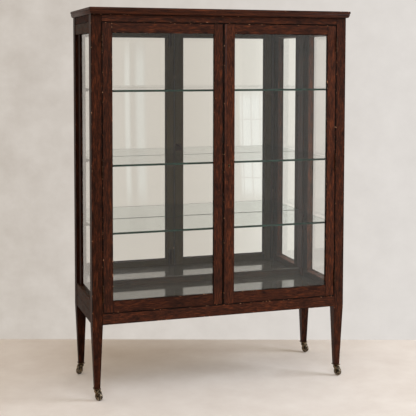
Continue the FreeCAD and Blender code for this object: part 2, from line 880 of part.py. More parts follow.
def case_nodes():
    mirror_sheet = back_sheet(mirror_face, mirror_thickness)
    backing = back_sheet(mirror_face + mirror_thickness, back_board_thickness)
    front_left = front_leg()
    back_left = back_leg()
    left_top = side_rail(side_top_rail_thickness, TOP)
    left_bottom = side_rail(side_bottom_rail_thickness, BOTTOM)
    stiles = sash_stiles()
    rails = sash_rails()
    beads = side_beads()
    studs = shelf_studs()
    leaves = [case_leaf(height) for height in hinge_heights]
    plates = [under_leg(castor_plate(), x, y, 0) for x, y, turn in castors.values()]
    return {
        "front_left_leg": [front_left],
        "front_right_leg": [mirrored(front_left)],
        "back_left_leg": [back_left],
        "back_right_leg": [mirrored(back_left)],
        "top_board": [top_board()],
        "front_top_rail": [front_rail(front_rail_thickness, TOP, door_head)],
        "front_bottom_rail": [front_rail(bottom_rail_thickness, BOTTOM, case_base)],
        "left_top_rail": [left_top],
        "right_top_rail": [mirrored(left_top)],
        "left_bottom_rail": [left_bottom],
        "right_bottom_rail": [mirrored(left_bottom)],
        "back_top_rail": [back_rail(BACK_TOP, BACK_TOP_TENON, (BACK_TOP[0], BACK_TOP_TENON[0]))],
        "back_bottom_rail": [back_rail(BACK_BOTTOM, BACK_BOTTOM_TENON,
                                       (BACK_BOTTOM_TENON[1], BACK_BOTTOM[1]))],
        "floor_board": [floor_board()],
        "door_stop": [door_stop()],
        "left_sash_stiles": stiles,
        "right_sash_stiles": [mirrored(stile) for stile in stiles],
        "left_sash_rails": rails,
        "right_sash_rails": [mirrored(rail) for rail in rails],
        "left_side_glass": [side_pane()],
        "right_side_glass": [mirrored(side_pane())],
        "left_side_beads": beads,
        "right_side_beads": [mirrored(bead) for bead in beads],
        "mirror_plate": [mirror_sheet],
        "back_board": [backing],
        "lower_shelf": [shelf(shelf_beds[0])],
        "middle_shelf": [shelf(shelf_beds[1])],
        "upper_shelf": [shelf(shelf_beds[2])],
        "shelf_studs": studs + [mirrored(stud) for stud in studs],
        "case_hinge_leaves": leaves + [mirrored(leaf) for leaf in leaves],
        "castor_plates": plates,
    }


def left_door_nodes():
    leaves = [door_leaf(height) for height in hinge_heights]
    low_z = (door_low, sight_low)
    high_z = (sight_high, door_high)
    meeting = door_stile(left_meeting_edge, left_meeting_pane, left_room).cut(lock_keep())
    keep_faces = ((floor_top, -1), (door_head - stop_lap, 1))
    return {
        "left_door_hinge_stile": [hinge_stile(left_hinge_pane, left_room)],
        "left_door_meeting_stile": [meeting],
        "left_door_bottom_rail": [door_rail(left_hinge_pane, left_meeting_pane, low_z,
                                            door_tenon_z[0], left_room)],
        "left_door_top_rail": [door_rail(left_hinge_pane, left_meeting_pane, high_z,
                                         door_tenon_z[1], left_room)],
        "left_door_glass": [door_pane(left_room)],
        "left_door_beads": door_beads(left_room),
        "left_door_hinge_leaves": leaves,
        "flat_bolt_plates": [bolt_plate(face, way) for face, way in keep_faces],
        "lower_flat_bolt": [flat_bolt(*keep_faces[0])],
        "upper_flat_bolt": [flat_bolt(*keep_faces[1])],
    }


def right_door_nodes():
    leaves = [door_leaf(height) for height in hinge_heights]
    low_z = (door_low, sight_low)
    high_z = (sight_high, door_high)
    return {
        "right_door_hinge_stile": [mirrored(hinge_stile(left_hinge_pane, left_room))],
        "right_door_meeting_stile": [right_meeting_stile()],
        "right_door_bottom_rail": [door_rail(right_meeting_pane, right_hinge_pane, low_z,
                                             door_tenon_z[0], right_room)],
        "right_door_top_rail": [door_rail(right_meeting_pane, right_hinge_pane, high_z,
                                          door_tenon_z[1], right_room)],
        "right_door_glass": [door_pane(right_room)],
        "right_door_beads": door_beads(right_room),
        "right_door_hinge_leaves": [mirrored(leaf) for leaf in leaves],
        "lock_case": [lock_case()],
        "keyhole_bush": [keyhole_bush()],
        "lock_bolt": [lock_bolt()],
    }


def castor_nodes():
    nodes = {}
    for corner, place in castors.items():
        nodes[corner + "_castor_fork"] = [under_leg(castor_fork(), *place)]
        nodes[corner + "_castor_wheel"] = [under_leg(castor_wheel(), *place)]
    return nodes


def build():
    nodes = {}
    for group in (case_nodes(), left_door_nodes(), right_door_nodes(), castor_nodes()):
        nodes.update(group)
    return nodes


os.makedirs("parts", exist_ok=True)
for node, solids in build().items():
    shape = Part.makeCompound(solids) if len(solids) > 1 else solids[0]
    shape.exportStep("parts/" + node + ".step")
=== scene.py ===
# %% [markdown]
# # A china cabinet: looks for a set of solids
# The cabinet comes as separate solids, one for each board, pane and fitting. This lesson gives them
# their finishes, adds the small things that are too fine for the solids, and sets up a plain studio.
# The solids are loaded first.

# %% Load the solids
import json
import math

import bmesh
import bpy
from mathutils import Matrix, Vector


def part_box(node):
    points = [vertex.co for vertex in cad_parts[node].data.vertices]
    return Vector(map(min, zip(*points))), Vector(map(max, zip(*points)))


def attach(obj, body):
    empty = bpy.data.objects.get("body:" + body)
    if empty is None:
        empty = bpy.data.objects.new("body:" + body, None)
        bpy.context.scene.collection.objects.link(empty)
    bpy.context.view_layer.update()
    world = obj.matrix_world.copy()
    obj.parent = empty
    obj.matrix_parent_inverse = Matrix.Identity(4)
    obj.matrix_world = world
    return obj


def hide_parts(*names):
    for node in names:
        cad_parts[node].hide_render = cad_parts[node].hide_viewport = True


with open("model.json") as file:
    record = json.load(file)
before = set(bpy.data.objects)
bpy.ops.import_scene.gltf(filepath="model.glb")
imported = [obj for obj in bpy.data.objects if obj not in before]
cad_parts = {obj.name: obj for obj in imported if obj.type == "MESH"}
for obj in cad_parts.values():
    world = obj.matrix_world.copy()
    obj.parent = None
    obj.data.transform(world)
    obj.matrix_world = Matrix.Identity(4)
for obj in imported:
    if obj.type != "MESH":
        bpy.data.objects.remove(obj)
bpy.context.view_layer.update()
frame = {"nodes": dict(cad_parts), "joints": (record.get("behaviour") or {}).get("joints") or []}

nodes = frame["nodes"]

# %% [markdown]
# ## Colours and nodes
# Colours are written as people pick them on a screen, as sRGB hex. Shaders calculate in linear light,
# so one function converts them. A second one adds a shader node, sets it and links it. Nodes could be
# wired by hand in the shader editor, but written down, each finish reads as a short list of steps.

# %% Helpers for finishes
def linear(hex_colour):
    """sRGB hex to linear red, green, blue and alpha."""
    parts = [int(hex_colour[i:i + 2], 16) / 255 for i in (0, 2, 4)]
    return [p / 12.92 if p <= 0.04045 else ((p + 0.055) / 1.055) ** 2.4 for p in parts] + [1.0]


def add(tree, kind, feeds=None, **settings):
    """Add a node; settings are its options, feeds its sockets: a plain value, or an output to link."""
    node = tree.nodes.new("ShaderNode" + kind)
    for name, value in settings.items():
        setattr(node, name, value)
    for socket, value in (feeds or {}).items():
        if isinstance(value, bpy.types.NodeSocket):
            tree.links.new(value, node.inputs[socket])
        else:
            node.inputs[socket].default_value = value
    return node


def new_tree(name):
    """An empty node material and its tree."""
    material = bpy.data.materials.new(name)
    material.use_nodes = True
    material.node_tree.nodes.clear()
    return material, material.node_tree


print("orange test colour in linear light:", [round(v, 3) for v in linear("FF8000")])

# %% [markdown]
# ## Mahogany: the pattern of the wood
# The case and the doors are mahogany, stained dark and French polished, then worn for a long time. The
# figure lies in soft patches, crossed by thin streaks and short pores that run along the grain.
# A photograph of wood could be wrapped round each piece, but joints would then show the same figure
# twice. Noise stretched along the grain can be moved, so every piece is cut from its own board.

# %% Stretch noise along the grain
MM = 0.001  # Blender counts in metres

PATTERNS = {  # width across the grain and length along it in millimetres, then detail
    "figure": (15, 48, 5.0),
    "streaks": (3.4, 30, 6.0),
    "pores": (2.0, 11, 2.0),  # real pores are 0.2 mm wide and are drawn wider to show
    "rubbing": (9, 40, 3.0),
    "chips": (6, 8, 1.0),
    "flecks": (4, 6, 0.5),
}
LINES_OF_GRAIN = ("figure", "streaks", "pores")
NEXT_BOARD = (29.2, 45.5, 19.7)  # how far the noise moves from one board to the next
NEXT_PATTERN = (3.7, 1.9, 5.3)


def along_grain(grain, across_mm, along_mm):
    """Scale that stretches a pattern along one axis: sizes in millimetres to cycles a metre."""
    scale = [1 / (across_mm * MM)] * 3
    scale[grain] = 1 / (along_mm * MM)
    return scale


def wood_patterns(tree, place, grain, board, drawn):
    """Every pattern of one board by its name, with the lines of grain drawn so many times longer."""
    found = {}
    for step, (pattern, (across, along, detail)) in enumerate(PATTERNS.items()):
        length = along * drawn if pattern in LINES_OF_GRAIN else along
        cut = [far * board + near * step for far, near in zip(NEXT_BOARD, NEXT_PATTERN)]
        spot = add(tree, "Mapping", {"Vector": place, "Scale": along_grain(grain, across, length),
                                     "Location": cut}).outputs[0]
        found[pattern] = add(tree, "TexNoise", {"Vector": spot, "Scale": 1.0, "Detail": detail,
                                                "Roughness": 0.7}).outputs["Fac"]
    return found


print("patterns on every board:", ", ".join(PATTERNS))

# %% [markdown]
# ## Mahogany: where wear and dirt sit
# Hands, dusters and knocks wear the arrises, which are the sharp edges of a board, and dirt settles
# beside them. Wear could be painted by hand on every piece. Here it finds its own place, from the
# distances to the faces of the piece's box: on an arris two of the three are nought, so the second
# smallest one tells how far away the nearest arris is.

# %% Measure the distance to an arris
DIRT_REACH, RUB_REACH, CHIP_REACH = 4.0 * MM, 3.0 * MM, 4.0 * MM


def arris_distance(tree, place, box):
    """Second smallest distance to a face of the box: nought on an arris, larger inside a face."""
    middle, half = (box[0] + box[1]) / 2, (box[1] - box[0]) / 2
    off = add(tree, "VectorMath", {0: place, 1: middle}, operation="SUBTRACT").outputs[0]
    off = add(tree, "VectorMath", {0: off}, operation="ABSOLUTE").outputs[0]
    inset = add(tree, "VectorMath", {0: half, 1: off}, operation="SUBTRACT").outputs[0]
    x, y, z = add(tree, "SeparateXYZ", {0: inset}).outputs
    rest = add(tree, "VectorMath", {0: inset, 1: (1, 1, 1)}, operation="DOT_PRODUCT").outputs["Value"]
    for pick in ("MINIMUM", "MAXIMUM"):
        pair = add(tree, "Math", {0: x, 1: y}, operation=pick).outputs[0]
        end = add(tree, "Math", {0: pair, 1: z}, operation=pick).outputs[0]
        rest = add(tree, "Math", {0: rest, 1: end}, operation="SUBTRACT").outputs[0]
    return rest


print("dirt and chips reach", CHIP_REACH / MM, "mm in from an arris, rubbing", RUB_REACH / MM, "mm")

# %% [markdown]
# ## Mahogany: colour in layers
# A polisher builds colour up in layers, and so does this finish: a brown ground, rusty streaks, pores and
# dark patches of figure, then a grey film of dust, which on the side rails is partly a painted sheen, a
# painted shade on the sides of the gaps, and the dirt, rubbing and chips of use. Each layer is one colour,
# laid on where its patterns let it through. One big colour ramp would be shorter, but single layers can be
# told apart and made stronger or weaker board by board.

# %% List the layers of a board
def toned(hex_colour, tone):
    """A colour made darker or lighter: more or less stain, and on some boards painted light and shade."""
    return [part * tone for part in linear(hex_colour)[:3]] + [1.0]


def wood_layers(tone, wear, dirt, dust_and_sheen, painted_gap_shade, inside):
    """From the ground up: colour, strength, and the patterns that limit it, each from start to full."""
    worn, grimy = min(wear, 1), min(dirt, 1)
    soiled = ("rubbing", 0.34 + 0.4 * dirt, 0.18 + 0.4 * dirt)
    chipped = ("chips", 0.73 - 0.04 * wear, 0.76 - 0.04 * wear)
    return [
        (toned("4A2719", tone), 1.0, [("streaks", 0.34, 0.66)]),  # brown streaks
        (toned("763C22", tone), 0.85, [("streaks", 0.44, 0.70), ("figure", 0.44, 0.62)]),  # rusty ones
        (toned("180E0A", tone), 0.7, [("pores", 0.54, 0.70)]),
        (toned("170E0B", tone), 0.85, [("figure", 0.48, 0.30)]),  # dark patches
        # grey film: dust, and on the side rails partly a painted sheen
        (linear("2F2C22"), dust_and_sheen, []),
        (linear("54482F"), inside, [("backward", 0.4, 0.8)]),  # dull backs of the doors
        # painted shade: faces that look sideways, the sides of the gaps round the doors, are darkened
        (linear("0A0604"), painted_gap_shade, [("front_or_back", 0.9, 0.4)]),  # dark sides of the gaps
        (linear("0A0604"), grimy, [("to_arris", DIRT_REACH, 1.2 * MM), soiled]),
        (linear("7E3F22"), 0.5 * worn, [("to_arris", RUB_REACH, 0.0), ("rubbing", 0.54, 0.70)]),
        (linear("DDA27E"), worn, [("to_arris", CHIP_REACH, 0.8 * MM), chipped]),  # bare wood
        (linear("9A5733"), 0.8 * worn, [("flecks", 0.79, 0.82)]),
    ]


layers = wood_layers(tone=1.0, wear=1.0, dirt=1.0, dust_and_sheen=0.0, painted_gap_shade=0.0, inside=0.0)
print(len(layers), "layers on the ground colour")

# %% [markdown]
# ## Mahogany: the finished board
# French polish is shellac rubbed on in thin coats. The eye sees a dull gloss that is uneven with the
# figure, and pores that still show as fine hollows. Shellac has an index of about 1.5, but this studio is
# pale all round, and at 1.5 its reflection would lie on the dark wood as a grey veil, so the index is
# lower. Only the top of the floor board, which nobody handles, has kept a hard glossy coat.

# %% Make a board of mahogany
POLISH_ROUGHNESS = (0.34, 0.50)  # in the dark and in the light of the figure
LACQUER_ROUGHNESS, LACQUER_INDEX = 0.07, 1.7
PORE_DEPTH = 0.3 * MM


def mahogany(
    name, grain, board, box,
    # on some boards the tone also paints light and shade
    tone=0.92,  # depth of the stain, darker when lower
    wear=1.0,  # rubbed and chipped arrises
    dirt=0.8,  # dark wax beside the arrises
    # dust, and on the side rails partly a painted sheen
    dust_and_sheen=0.0,  # a grey film
    # painted shade on the sides of the gaps, on faces that look neither forward nor back
    painted_gap_shade=0.0,  # dark on faces that look neither forward nor back
    inside=0.0,  # dullness of faces that look back
    index=1.17,  # of the polish
    lacquer=0.0,  # glossy coat on faces that look up
    drawn=1,  # how much longer the lines of grain are, as on a wide board
):
    """Board number board in its box, with the grain along axis 0, 1 or 2."""
    # French polished mahogany: dark red brown, a dull gloss, lively figure
    material, tree = new_tree(name)
    place = add(tree, "TexCoord").outputs["Object"]
    _, backward, upward = add(tree, "SeparateXYZ", {0: add(tree, "TexCoord").outputs["Normal"]}).outputs
    found = wood_patterns(tree, place, grain, board, drawn)
    found["to_arris"] = arris_distance(tree, place, box)
    found["backward"] = backward
    found["front_or_back"] = add(tree, "Math", {0: backward}, operation="ABSOLUTE").outputs[0]
    colour = toned("2C1710", tone)
    for shade, amount, limits in wood_layers(tone, wear, dirt, dust_and_sheen, painted_gap_shade, inside):
        for pattern, starts, full in limits:
            mask = add(tree, "MapRange", {"Value": found[pattern], "From Min": starts, "From Max": full},
                       interpolation_type="SMOOTHSTEP").outputs[0]
            amount = add(tree, "Math", {0: mask, 1: amount}, operation="MULTIPLY").outputs[0]
        colour = add(tree, "Mix", {0: amount, 6: colour, 7: shade}, data_type="RGBA").outputs[2]
    coat = add(tree, "Math", {0: upward, 1: lacquer}, operation="MULTIPLY", use_clamp=True).outputs[0]
    bump = add(tree, "Bump", {"Strength": 0.10, "Distance": PORE_DEPTH, "Height": found["pores"]}).outputs[0]
    polish = add(tree, "MapRange", {"Value": found["figure"], "From Min": 0.3, "From Max": 0.7,
                                    "To Min": POLISH_ROUGHNESS[0], "To Max": POLISH_ROUGHNESS[1]}).outputs[0]
    shader = add(tree, "BsdfPrincipled", {"Base Color": colour, "Roughness": polish, "IOR": index,
                                          "Normal": bump, "Coat Weight": coat,
                                          "Coat Roughness": LACQUER_ROUGHNESS,
                                          "Coat IOR": LACQUER_INDEX}).outputs[0]
    add(tree, "OutputMaterial", {"Surface": shader})
    return material


print("roughness of the polish", POLISH_ROUGHNESS, "and of the lacquer", LACQUER_ROUGHNESS)

# %% [markdown]
# ## Which way the grain runs
# A joiner lays the grain along the length of each piece, so that it is strong and hardly shrinks in
# length. Uprights have it along Z, the wide boards and the rails of the front, the back and the doors
# along X, and the rails of the two sides along Y. The four thin beads of a pane are one piece and share
# the upright grain. It could be set by hand for every piece, but the last word of a piece's name tells
# which it is, so a short table does.

# %% Find the wooden pieces and their grain
ALONG_X, ALONG_Y, ALONG_Z = 0, 1, 2
GRAIN_OF = {
    "leg": ALONG_Z, "stile": ALONG_Z, "stiles": ALONG_Z, "beads": ALONG_Z,
    "top_board": ALONG_X, "floor_board": ALONG_X, "door_stop": ALONG_X,
    "rail": ALONG_X, "rails": ALONG_Y,
}


def grain_for(name):
    """Axis that the grain of a piece follows."""
    words = name.split("_")
    if words[-1] == "rail" and words[0] in ("left", "right") and "door" not in words:
        return ALONG_Y
    return GRAIN_OF[name] if name in GRAIN_OF else GRAIN_OF[words[-1]]


wooden = [name for name in sorted(nodes) if name in GRAIN_OF or name.split("_")[-1] in GRAIN_OF]
print(len(wooden), "mahogany pieces,", sum(grain_for(name) == ALONG_Z for name in wooden), "upright")

# %% [markdown]
# ## One board is not like another
# Boards take stain differently, feet and knees chip the bottom rails, and the inside gathers dust, so
# the boards that stand out have values of their own. Some values paint light and shade into the colour:
# the legs on the left and at the back, the rails of the left side, the door pieces on the left, the stiles
# of the sides and the beads of the left side are toned darker as if in shade, the door pieces on the right
# lighter as if lit, and the grey film on the side rails is partly a painted sheen. The backs of the doors
# were never polished, and the sides of the gaps round the doors are darkened with painted shade. One
# material for all would be simpler, but the cabinet would then look moulded in one piece. Each solid
# arrives in a plain stand-in material, which the finish replaces.

# %% Finish every wooden piece
BOARD_LOOKS_AND_SHADE = {  # by the whole name of a piece, or by its last word
    "floor_board": dict(tone=0.5, wear=0.0, dirt=0.0, dust_and_sheen=0.7, lacquer=1.0, drawn=3),
    "top_board": dict(drawn=4),
    "back_bottom_rail": dict(wear=0.0, dust_and_sheen=0.6),
    "beads": dict(tone=2.3, wear=0.0, dirt=0.3, dust_and_sheen=0.35),
    # painted shade: the side stiles and the beads of the left side are toned dark, as if in the shade of
    # their recess
    "stiles": dict(tone=0.35, wear=0.0, index=1.1),
    # on the side rails the grey film is partly a painted sheen
    "rails": dict(wear=0.4, dust_and_sheen=0.4, index=1.06),
    "left_side_beads": dict(tone=0.3, wear=0.0, index=1.1),
    # painted shade: the rails of the left side are toned darker, as if less light reached them
    "left_top_rail": dict(tone=0.6, index=1.04),
    "left_bottom_rail": dict(tone=0.7, dust_and_sheen=0.3, index=1.07),
    # painted light and shade: the legs on the left and at the back are toned darker, as if in shade
    "front_left_leg": dict(tone=0.73, wear=0.8, index=1.12),
    "front_right_leg": dict(tone=0.84, dirt=1.0),
    "back_left_leg": dict(tone=0.45, wear=0.4, index=1.1),
    "back_right_leg": dict(tone=0.7, wear=0.4),
    "door_stop": dict(tone=0.7, wear=0.0),
    # the front rails get the painted shade on the sides of the gaps round the doors
    "front_top_rail": dict(painted_gap_shade=0.8),
    "front_bottom_rail": dict(tone=1.04, wear=1.7, painted_gap_shade=0.8),
    # painted light and shade: door pieces on the left are toned darker, those on the right lighter, as the
    # light falls from the right
    "left_door_bottom_rail": dict(tone=0.76, wear=1.7),
    "left_door_hinge_stile": dict(tone=0.8),
    "left_door_meeting_stile": dict(dirt=1.3),
    "right_door_bottom_rail": dict(tone=0.94, wear=1.2),
    "right_door_meeting_stile": dict(tone=1.14, dirt=1.3),
    "right_door_hinge_stile": dict(tone=1.16, dirt=1.2),
}
# the doors get the painted shade on the sides of their gaps, and dull backs
DOOR_LOOKS_AND_SHADE = dict(painted_gap_shade=0.8, inside=0.75)


def corners_of(name):
    """Low and high corner of a solid's box."""
    return [Vector(corner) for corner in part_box(name)]


def give_finish(name, material):
    """Put a finish on a solid in place of the plain material that it came with."""
    nodes[name].data.materials.clear()
    nodes[name].data.materials.append(material)


for board, name in enumerate(wooden, start=1):
    choices = BOARD_LOOKS_AND_SHADE.get(name) or BOARD_LOOKS_AND_SHADE.get(name.split("_")[-1], {})
    if "_door_" in name:
        choices = {**choices, **DOOR_LOOKS_AND_SHADE}
    wood_name = "French polished mahogany, " + name
    give_finish(name, mahogany(wood_name, grain_for(name), board, corners_of(name), **choices))
print("finished", len(wooden), "boards,", sum(name in BOARD_LOOKS_AND_SHADE for name in wooden), "with values of their own")

# %% [markdown]
# ## Glass and mirror
# The doors and sides hold thin drawn window glass, and the shelves are 8 mm plate with ground edges.
# Clear glass is a shader with full transmission and the index of real glass, 1.5. The big panes get 1.4,
# because at 1.5 the whole pale room would lie as a veil over the dark inside. Light that glass bends hardly
# ever finds its way back to a lamp, so shadow rays are let straight through by a transparent shader, which
# keeps the inside lit. Iron in the plate makes it green where one looks into it along its width, that is,
# at the edges: faces that do not face up or down get the deep colour and let little through.
# The mirror is silvered glass, which the eye knows only as a very smooth pale metal.

# %% Clear window glass, plate glass and silvering
def clear_glass(name, index, face, edge=None):
    """Glass of one colour, or with a deeper colour on the faces that do not look up or down."""
    material, tree = new_tree(name)
    feeds = {"Base Color": linear(face), "Roughness": 0.0, "IOR": index, "Transmission Weight": 1.0}
    if edge:
        level = add(tree, "SeparateXYZ", {0: add(tree, "TexCoord").outputs["Normal"]}).outputs[2]
        level = add(tree, "Math", {0: level}, operation="ABSOLUTE").outputs[0]
        flat = add(tree, "MapRange", {"Value": level, "From Min": 0.8, "From Max": 0.95}).outputs[0]
        feeds["Base Color"] = add(tree, "Mix", {0: flat, 6: linear(edge), 7: linear(face)},
                                  data_type="RGBA").outputs[2]
        feeds["Transmission Weight"] = flat
        feeds["Specular IOR Level"] = add(tree, "MapRange", {"Value": flat, "To Min": 0.1,
                                                             "To Max": 0.5}).outputs[0]
    glass = add(tree, "BsdfPrincipled", feeds).outputs[0]
    lamp_ray = add(tree, "LightPath").outputs["Is Shadow Ray"]
    straight = add(tree, "BsdfTransparent", {"Color": linear("FAFCFA")}).outputs[0]
    both = add(tree, "MixShader", {0: lamp_ray, 1: glass, 2: straight}).outputs[0]
    add(tree, "OutputMaterial", {"Surface": both})
    return material


# Drawn window glass: hardly seen but for a soft reflection of the room
window_glass = clear_glass("drawn window glass", index=1.4, face="F8F8F6")
# Plate glass: clear from above, a dark sea green line along each ground edge
plate_glass = clear_glass("plate glass with ground edges", index=1.5, face="E0E8E7", edge="0B2A20")
# Silvered glass: shows the room and the backs of the doors
silver, tree = new_tree("silvered mirror glass")
shader = add(tree, "BsdfPrincipled", {"Base Color": linear("FBFBFB"), "Metallic": 1.0, "Roughness": 0.01})
add(tree, "OutputMaterial", {"Surface": shader.outputs[0]})

panes = {name: window_glass for name in nodes if name.endswith("_glass")}
panes.update({name: plate_glass for name in nodes if name.endswith("_shelf")})
panes["mirror_plate"] = silver
for name, material in panes.items():
    give_finish(name, material)
print("glass and mirror on", sorted(panes))

# %% [markdown]
# ## Brass
# The castors, hinges, lock and bolts are cast or rolled brass that has gone brown. Handled places stay
# bright and hollows go nearly black. A painted mask could say which is which, but on fittings this small
# a noise of a few millimetres does: it mixes two browns, and the dark one is rougher. The hinges are the
# darkest, the wheels the brightest, because the floor rubs them, and the bush of the keyhole is of the
# same cast brass as the castors' forks.

# %% Aged brass
def aged_brass(name, bright, dark, spots_mm, share):
    """Brass with bright and dark spots of a size in millimetres; a higher share is darker."""
    material, tree = new_tree(name)
    place = add(tree, "TexCoord").outputs["Object"]
    spots = add(tree, "TexNoise", {"Vector": place, "Scale": 1 / (spots_mm * MM), "Detail": 4.0,
                                   "Roughness": 0.6}).outputs["Fac"]
    patina = add(tree, "MapRange", {"Value": spots, "From Min": share - 0.2, "From Max": share + 0.2},
                 interpolation_type="SMOOTHSTEP").outputs[0]
    colour = add(tree, "Mix", {0: patina, 6: linear(dark), 7: linear(bright)}, data_type="RGBA").outputs[2]
    rough = add(tree, "MapRange", {"Value": patina, "To Min": 0.55, "To Max": 0.28}).outputs[0]
    bump = add(tree, "Bump", {"Strength": 0.15, "Distance": 0.2 * MM, "Height": spots}).outputs[0]
    shader = add(tree, "BsdfPrincipled", {"Base Color": colour, "Metallic": 1.0, "Roughness": rough,
                                          "Normal": bump}).outputs[0]
    add(tree, "OutputMaterial", {"Surface": shader})
    return material


# Cast brass: brown, with dull golden spots
castor_brass = aged_brass("cast brass, brown with age", "9C8464", "1C140D", spots_mm=8.0, share=0.56)
# Rolled brass: about as dark as the wood, so a hinge shows as a thin dull line
hinge_brass = aged_brass("rolled hinge brass, dark with age", "4C3628", "21150F", spots_mm=9.0, share=0.55)
# Wheel brass: greyish glints on the rim
wheel_brass = aged_brass("wheel brass, kept brighter by the floor", "AC9C86", "16100B", spots_mm=7.0,
                         share=0.54)
# Plate brass: a brown collar under each leg
plate_brass = aged_brass("castor plate brass, dark with age", "7E6448", "1E150E", spots_mm=6.0, share=0.5)

metal = {name: castor_brass for name in nodes if "castor" in name}
metal.update({name: hinge_brass for name in nodes if "hinge_leaves" in name or "flat_bolt" in name})
metal.update({name: hinge_brass for name in ("lock_case", "lock_bolt", "shelf_studs")})
metal["keyhole_bush"] = castor_brass
metal["castor_plates"] = plate_brass
for name, material in metal.items():
    give_finish(name, material)
print(len(metal), "brass fittings")

# %% [markdown]
# ## The backing board
# Behind the mirror is a thin softwood board. It has a plain wash of stain and no polish, since it faces
# the wall, so the eye sees a matt brown with narrow upright rings. One noise, stretched far along the
# grain, is enough for a face that is seldom looked at.

# %% Stained softwood
RING_WIDTH, RING_LENGTH = 11.0, 500.0  # millimetres

# Stained softwood: a matt brown with narrow upright rings
softwood, tree = new_tree("stained softwood board")
place = add(tree, "TexCoord").outputs["Object"]
spot = add(tree, "Mapping", {"Vector": place, "Scale": along_grain(ALONG_Z, RING_WIDTH, RING_LENGTH)})
rings = add(tree, "TexNoise", {"Vector": spot.outputs[0], "Scale": 1.0, "Detail": 5.0}).outputs["Fac"]
rings = add(tree, "MapRange", {"Value": rings, "From Min": 0.35, "From Max": 0.68}).outputs[0]
colour = add(tree, "Mix", {0: rings, 6: linear("54371F"), 7: linear("6D4A2D")}, data_type="RGBA").outputs[2]
shader = add(tree, "BsdfPrincipled", {"Base Color": colour, "Roughness": 0.75, "Specular IOR Level": 0.2})
add(tree, "OutputMaterial", {"Surface": shader.outputs[0]})
give_finish("back_board", softwood)
print("still plain:", sorted(set(nodes) - set(wooden) - set(panes) - set(metal) - {"back_board"}))

# %% [markdown]
# ## Arrises
# No hand-finished edge is a knife edge. The solids arrive with each face's corners apart, so a Weld
# modifier joins them first, and a Bevel modifier then rounds every edge sharper than 35 degrees. The mesh
# could be cut instead, but modifiers leave the solids themselves as they are. Castings have the roundest
# edges, and the small fittings the finest.

# %% Round the edges
WOOD_ARRIS, CAST_ARRIS, FITTING_ARRIS, GLASS_ARRIS = 0.7 * MM, 0.9 * MM, 0.35 * MM, 0.4 * MM
ARRIS_ANGLE, WELD_REACH = math.radians(35), 0.01 * MM


def round_edges(name, width, steps):
    """Round the sharp edges of a solid."""
    weld = nodes[name].modifiers.new("join", "WELD")
    weld.merge_threshold = WELD_REACH
    bevel = nodes[name].modifiers.new("arris", "BEVEL")
    bevel.width = width
    bevel.segments = steps
    bevel.limit_method = "ANGLE"
    bevel.angle_limit = ARRIS_ANGLE
    bevel.harden_normals = True
    bevel.miter_outer = "MITER_ARC"


for name in wooden:
    round_edges(name, WOOD_ARRIS, steps=2)
for name in metal:
    if "fork" in name:
        round_edges(name, CAST_ARRIS, steps=3)
    elif "hinge" not in name:
        round_edges(name, FITTING_ARRIS, steps=2)
for name in panes:
    if name.endswith("_shelf"):
        round_edges(name, GLASS_ARRIS, steps=2)
print("rounded", sum(len(solid.modifiers) > 0 for solid in nodes.values()), "pieces")

# %% [markdown]
# ## Castor wheels
# A cast wheel has a rounded tread, a rim, a dished web and a hub. Half of that outline is written as a few
# corners, mirrored, and spun round the axle, which is how it would be turned on a lathe. Cylinders could be
# joined instead, but a spun outline has no seams. Each new wheel stands for the plain disc among the solids
# and rolls with the same body.

# %% Spin the wheels
WHEEL_HALF = [  # distance from the middle of the wheel and radius in millimetres, from the bore to the tread
    (6.4, 2.7), (6.4, 5.2), (5.2, 6.6), (4.4, 10.2), (5.4, 12.6), (5.9, 14.4), (4.9, 16.1), (2.6, 16.85),
]
TURNING_STEPS = 40
SAME_PLACE = 0.001 * MM
WHEEL_ARRIS_ANGLE = math.radians(40)


def new_piece(name, bm, material, body):
    """Turn a finished bmesh into a piece that rides a body."""
    mesh = bpy.data.meshes.new(name)
    bm.to_mesh(mesh)
    bm.free()
    mesh.materials.append(material)
    obj = bpy.data.objects.new(name, mesh)
    bpy.context.scene.collection.objects.link(obj)
    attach(obj, body)
    return obj


def axle_of(wheel):
    """Middle of a wheel and the direction of its axle."""
    low, high = corners_of(wheel)
    return (low + high) / 2, next(Vector(j["axis"]) for j in frame["joints"] if j["child"] == wheel)


def spun_wheel(body):
    """Wheel on its axle, at the place of the plain disc of that body."""
    middle, axle = axle_of(body)
    outline = WHEEL_HALF + [(-across, radius) for across, radius in reversed(WHEEL_HALF)]
    bm = bmesh.new()
    points = [bm.verts.new((0, across * MM, radius * MM)) for across, radius in outline]
    edges = [bm.edges.new(pair) for pair in zip(points, points[1:] + points[:1])]
    bmesh.ops.spin(bm, geom=points + edges, cent=(0, 0, 0), axis=(0, 1, 0), angle=2 * math.pi,
                   steps=TURNING_STEPS, use_merge=True)
    bmesh.ops.remove_doubles(bm, verts=bm.verts, dist=SAME_PLACE)
    bmesh.ops.recalc_face_normals(bm, faces=bm.faces)
    sharp = [edge for edge in bm.edges if edge.calc_face_angle(0) > WHEEL_ARRIS_ANGLE]
    bmesh.ops.bevel(bm, geom=sharp, offset=FITTING_ARRIS, segments=2, profile=0.5, affect="EDGES",
                    material=-1)
    for face in bm.faces:
        face.smooth = True
    place = Matrix.Translation(middle) @ Matrix.Rotation(math.atan2(-axle.x, axle.y), 4, "Z")
    bmesh.ops.transform(bm, matrix=place, verts=bm.verts)
    wheel = new_piece(body + "_turned", bm, wheel_brass, body)
    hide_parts(body)
    return wheel


wheels = [spun_wheel(name) for name in sorted(nodes) if name.endswith("castor_wheel")]
print(len(wheels), "wheels of", len(wheels[0].data.polygons), "faces")

# %% [markdown]
# ## Screw heads
# Countersunk wood screws hold the hinges, bolts, lock and castors. A screw head is a short cone let in so
# that its wide end is flush. Two cuts mark a strip across the head, and the strip is pushed in to make the
# saw-cut slot. A Boolean could cut the slot too, but two cuts and a push keep the mesh clean. The slots
# point every which way, as they do when a person drives them.

